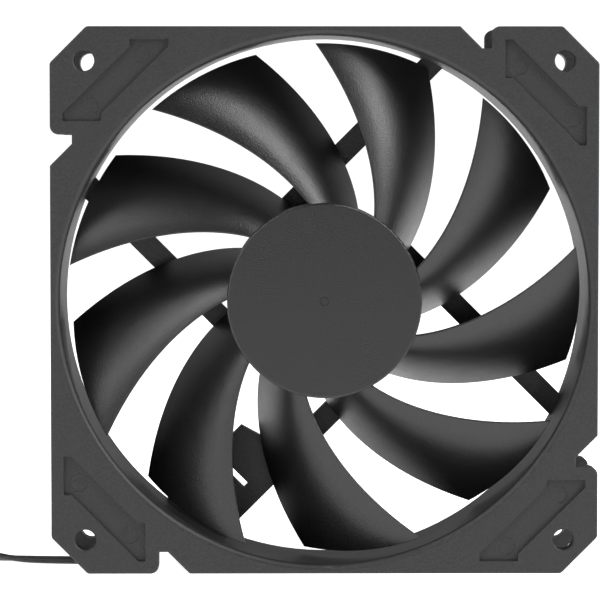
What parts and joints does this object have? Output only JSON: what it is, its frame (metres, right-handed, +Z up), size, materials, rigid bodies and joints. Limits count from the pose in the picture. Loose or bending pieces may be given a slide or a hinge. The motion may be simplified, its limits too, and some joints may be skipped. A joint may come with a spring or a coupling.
{
  "type": "case fan",
  "caption": "Square-framed axial computer case fan with a large round hub, swept blades, offset rear spokes, open corners and a flat lead with its connector.",
  "frame": {"origin": "on the floor under the middle of the square frame, halfway between its inlet and outlet faces", "axes": "+X to the right seen from the inlet side, +Y along the rotor's axis from inlet to outlet, +Z up"},
  "size_m": [0.234, 0.031, 0.12],
  "materials": {
    "frame_plastic": "fine-textured dark grey moulded plastic",
    "rotor_plastic": "dark grey moulded plastic with a soft sheen",
    "yoke_steel": "zinc-plated pressed steel",
    "ferrite": "bonded ferrite magnet",
    "brass": "turned brass",
    "shaft_steel": "ground hardened steel",
    "sintered_bronze": "oil-filled sintered bronze",
    "seal_rubber": "soft black rubber",
    "white_nylon": "natural nylon",
    "core_steel": "stacked silicon steel laminations",
    "copper_winding": "enamelled copper wire",
    "board_green": "solder-masked glass-epoxy board",
    "chip_black": "moulded chip package",
    "solder": "tinned solder",
    "label_foil": "plain matt black label film",
    "lead_sleeve": "black PVC insulation",
    "tie_plastic": "black nylon tie",
    "connector_plastic": "black nylon connector"
  },
  "bodies": {
    "housing": {"frame": "frame_plastic", "bearing_tube": "brass", "bearing_seal": "seal_rubber", "bearing_sleeve": "sintered_bronze", "thrust_pad": "white_nylon", "stator_core": "core_steel", "front_insulator": "white_nylon", "rear_insulator": "white_nylon", "winding_1": "copper_winding", "winding_2": "copper_winding", "winding_3": "copper_winding", "winding_4": "copper_winding", "circuit_board": "board_green", "winding_pins": "solder", "motor_driver": "chip_black", "capacitors": "white_nylon", "resistors": "chip_black", "solder_pads": "solder", "rear_label": "label_foil", "inner_leads": "lead_sleeve", "lead_ends": "solder", "lead": "lead_sleeve", "lead_hank": "lead_sleeve", "hank_tie": "tie_plastic", "connector_housing": "connector_plastic", "connector_terminals": "brass"},
    "rotor": {"impeller": "rotor_plastic", "rotor_yoke": "yoke_steel", "rotor_magnet": "ferrite", "shaft_boss": "brass", "shaft": "shaft_steel", "oil_slinger": "white_nylon", "retaining_clip": "white_nylon"}
  },
  "joints": [
    {"name": "rotor_spin", "type": "hinge", "parent": "housing", "child": "rotor", "pos_m": [0, 0, 0.06], "axis": [0, -1, 0], "continuous": true}
  ]
}
